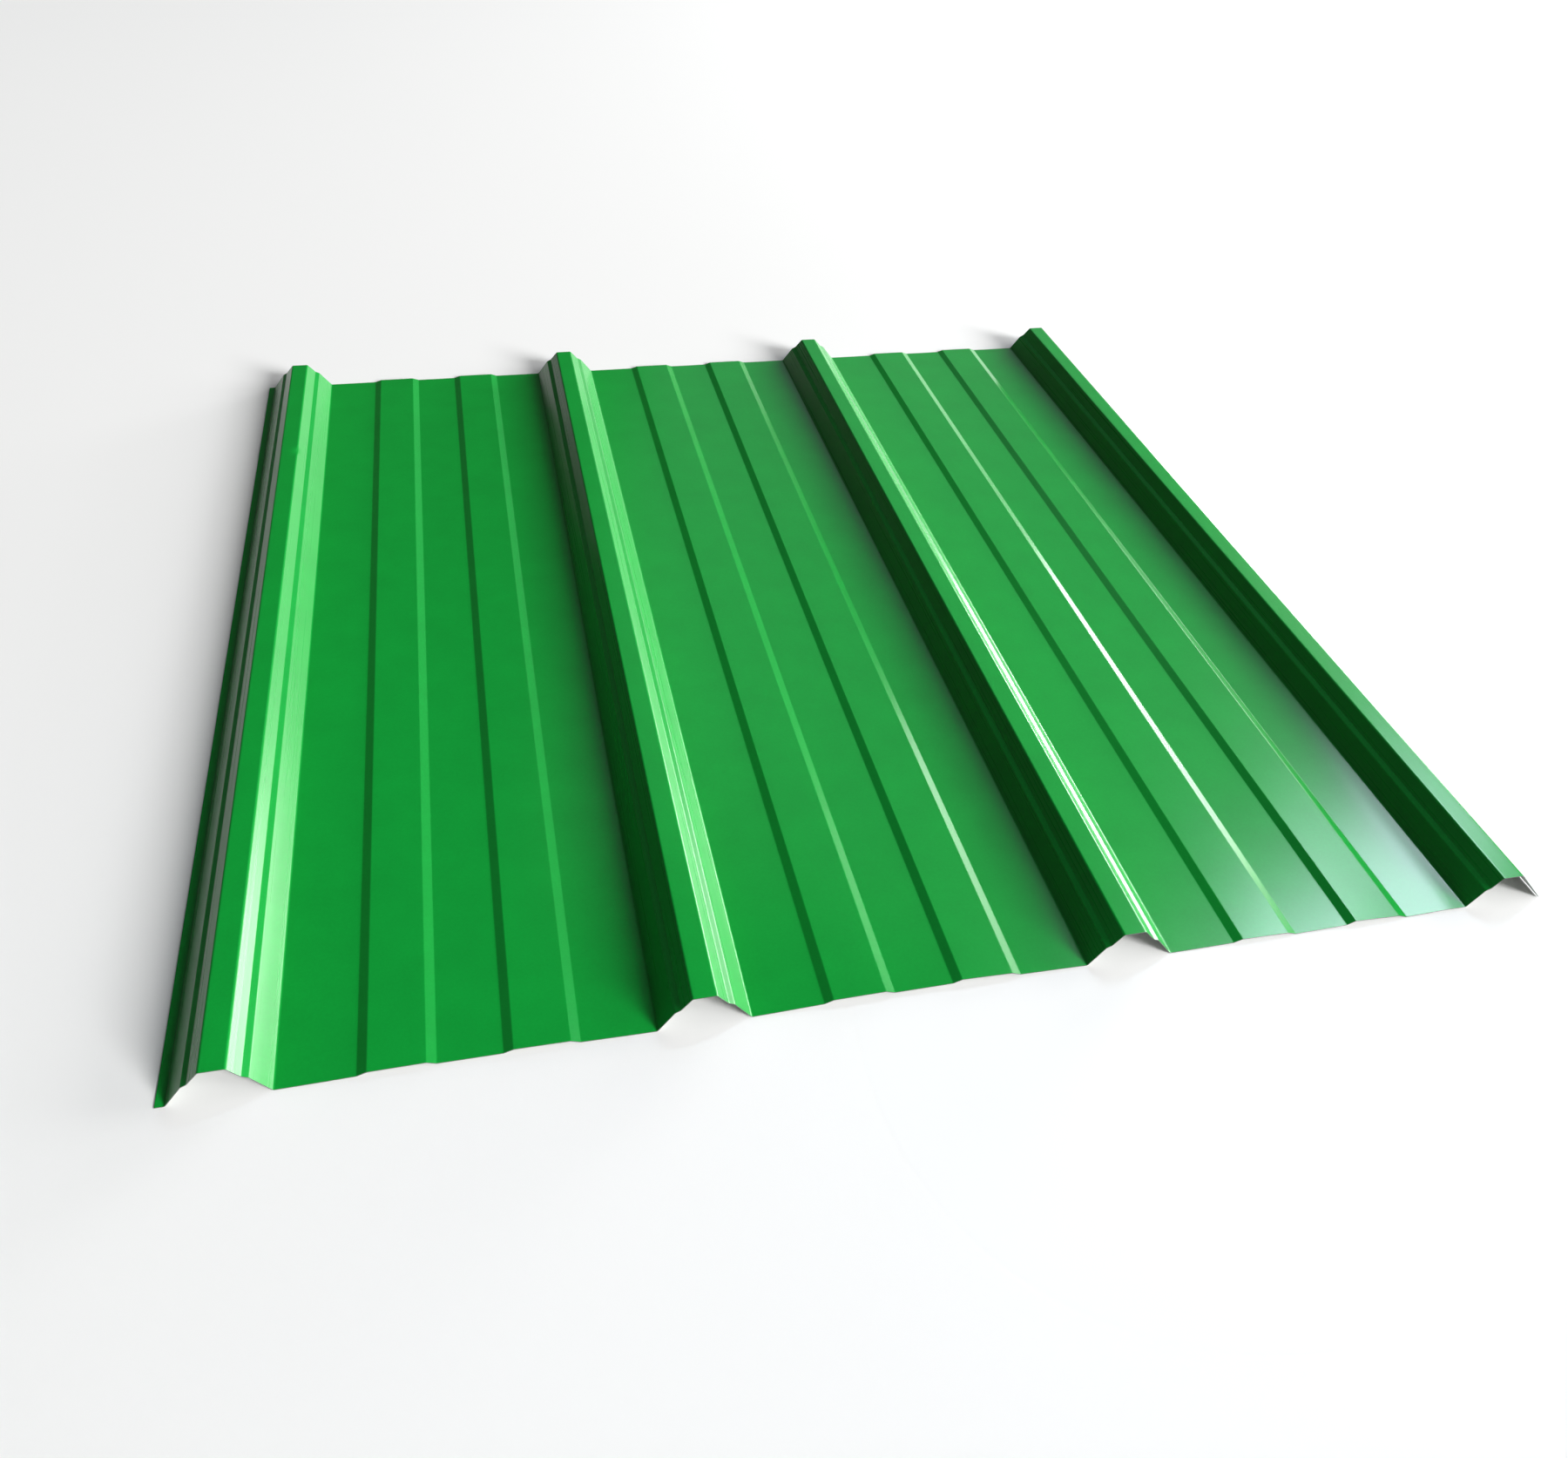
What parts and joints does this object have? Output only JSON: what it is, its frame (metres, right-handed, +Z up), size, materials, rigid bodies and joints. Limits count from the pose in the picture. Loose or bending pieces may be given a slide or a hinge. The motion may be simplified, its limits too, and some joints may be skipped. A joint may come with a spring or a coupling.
{
  "type": "trapezoidal corrugated metal sheet",
  "caption": "Ribbed steel roofing sheet, gloss green, with trapezoidal main ribs whose flanks are stepped, shallow flat-topped swages in the pans, and a lap edge along each side.",
  "frame": {"origin": "centre of the sheet's bounding box in plan, at the level of the pans' underside", "axes": "+X across the ribs, from the overlapping side edge to the underlapping one; +Y along the ribs; +Z up, out of the painted face"},
  "size_m": [0.9686, 1, 0.0265],
  "materials": {
    "green_coil_coating": "gloss"
  },
  "bodies": {
    "root": {"profiled_sheet": "green_coil_coating"}
  },
  "joints": []
}
